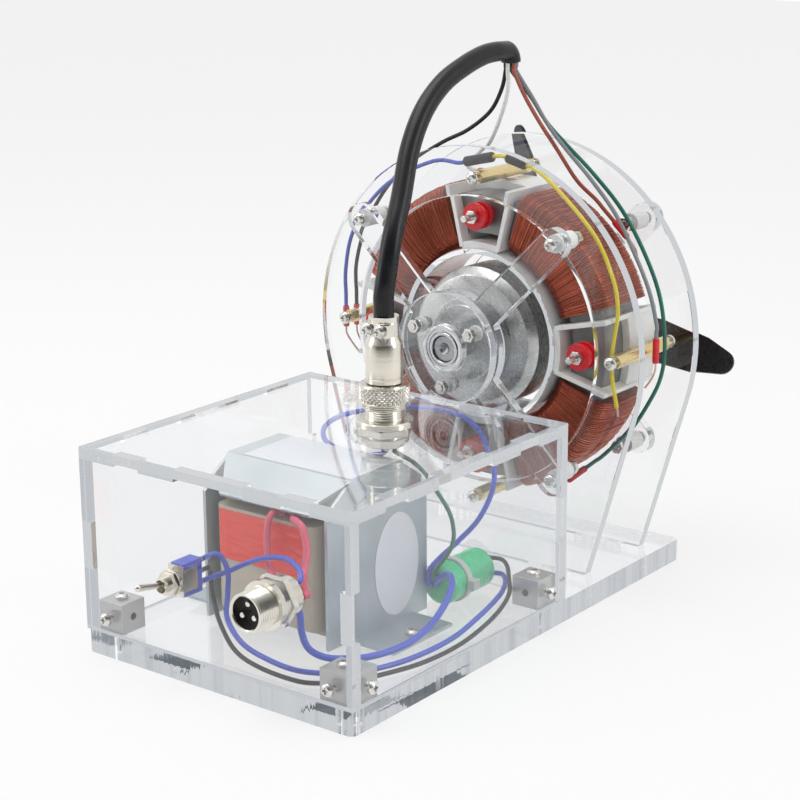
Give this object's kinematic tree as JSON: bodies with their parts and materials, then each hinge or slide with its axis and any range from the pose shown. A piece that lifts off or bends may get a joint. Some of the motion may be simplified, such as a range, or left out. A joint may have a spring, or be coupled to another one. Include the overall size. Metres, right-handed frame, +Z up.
{
  "type": "demonstration electric motor",
  "caption": "Induction motor with exposed coils between clear plates, driven from a clear control box with transformer, capacitor, switch and plug-in cable.",
  "frame": {"origin": "centre of the base's underside", "axes": "+X to the right along the box's front edge, +Y from the switch towards the motor and along its shaft, +Z up"},
  "size_m": [0.1737, 0.2792, 0.2384],
  "materials": {
    "clear_acrylic": "polished clear sheet with pale sawn edges",
    "zinc_steel": "bright zinc-plated steel",
    "nickel": "nickel-plated connector metal, warm and bright",
    "galvanised": "galvanised sheet, slightly cloudy",
    "dark_steel": "stacked dark laminations",
    "cast_aluminium": "turned light metal",
    "shaft_steel": "ground dark steel",
    "bearing_steel": "polished bearing steel",
    "brass": "plain brass",
    "enamelled_copper": "glossy enamelled copper wire",
    "bare_copper": "bare and tinned copper ends",
    "white_nylon": "white nylon",
    "red_plastic": "glossy red plastic",
    "black_plastic": "black plastic",
    "blue_plastic": "blue moulded plastic",
    "green_sleeve": "green shrink sleeve",
    "beige_card": "beige insulating card and tape",
    "red_tape": "red adhesive tape",
    "label_paper": "blank white label",
    "lead_pink": "soft pink-red sleeving",
    "clear_nylon": "natural nylon",
    "cable_black": "black flexible cable sheath",
    "wire_blue": "blue wire insulation",
    "wire_black": "black wire insulation",
    "wire_green": "green wire insulation",
    "wire_grey": "white, brown and grey wire insulation",
    "wire_yellow": "yellow wire insulation"
  },
  "bodies": {
    "stand": {"base_plate": "clear_acrylic", "front_wall": "clear_acrylic", "rear_wall": "clear_acrylic", "left_wall": "clear_acrylic", "right_wall": "clear_acrylic", "box_lid": "clear_acrylic", "corner_cubes": "zinc_steel", "box_screws": "zinc_steel", "transformer_frame": "galvanised", "transformer_core": "dark_steel", "transformer_bobbin": "beige_card", "transformer_tape": "red_tape", "transformer_labels": "label_paper", "transformer_leads": "lead_pink", "inlet_shell": "nickel", "inlet_insert": "black_plastic", "contact_pins": "nickel", "socket_nuts": "nickel", "switch_body": "blue_plastic", "switch_frame": "nickel", "capacitor": "green_sleeve", "cable_tie": "clear_nylon", "lid_socket": "nickel", "plug_barrel": "nickel", "plug_clamp": "nickel", "motor_cable": "cable_black", "blue_wires": "wire_blue", "black_wires": "wire_black", "green_wires": "wire_green", "cable_cores": "wire_grey", "yellow_wire": "wire_yellow", "lead_sleeves": "red_plastic", "copper_tails": "bare_copper", "front_plate": "clear_acrylic", "rear_plate": "clear_acrylic", "stator_core": "dark_steel", "coil_cores": "enamelled_copper", "upper_right_winding": "enamelled_copper", "upper_left_winding": "enamelled_copper", "lower_left_winding": "enamelled_copper", "lower_right_winding": "enamelled_copper", "core_holders": "white_nylon", "stator_liner": "clear_acrylic", "terminal_collars": "red_plastic", "core_bolts": "zinc_steel", "brass_standoffs": "brass", "frame_screws": "zinc_steel", "frame_nuts": "zinc_steel", "nylon_spacers": "white_nylon", "front_spider": "clear_acrylic", "rear_spider": "clear_acrylic", "front_disc": "clear_acrylic", "rear_disc": "clear_acrylic", "bearing_outer_rings": "bearing_steel"},
    "rotor": {"bearing_inner_rings": "bearing_steel", "shaft": "shaft_steel", "rotor": "cast_aluminium", "fan": "black_plastic"},
    "lever": {"switch_lever": "nickel"},
    "plug_ring": {"coupling_ring": "nickel"}
  },
  "joints": [
    {"name": "rotor_spin", "type": "hinge", "parent": "stand", "child": "rotor", "pos_m": [0, 0.078, 0.1075], "axis": [0, 1, 0], "continuous": true},
    {"name": "switch_toggle", "type": "hinge", "parent": "stand", "child": "lever", "pos_m": [-0.021, -0.123, 0.041], "axis": [1, 0, 0], "range_deg": [0, 24]},
    {"name": "ring_spin", "type": "hinge", "parent": "stand", "child": "plug_ring", "pos_m": [0.0165, -0.031, 0.099], "axis": [0, 0, 1], "continuous": true}
  ]
}
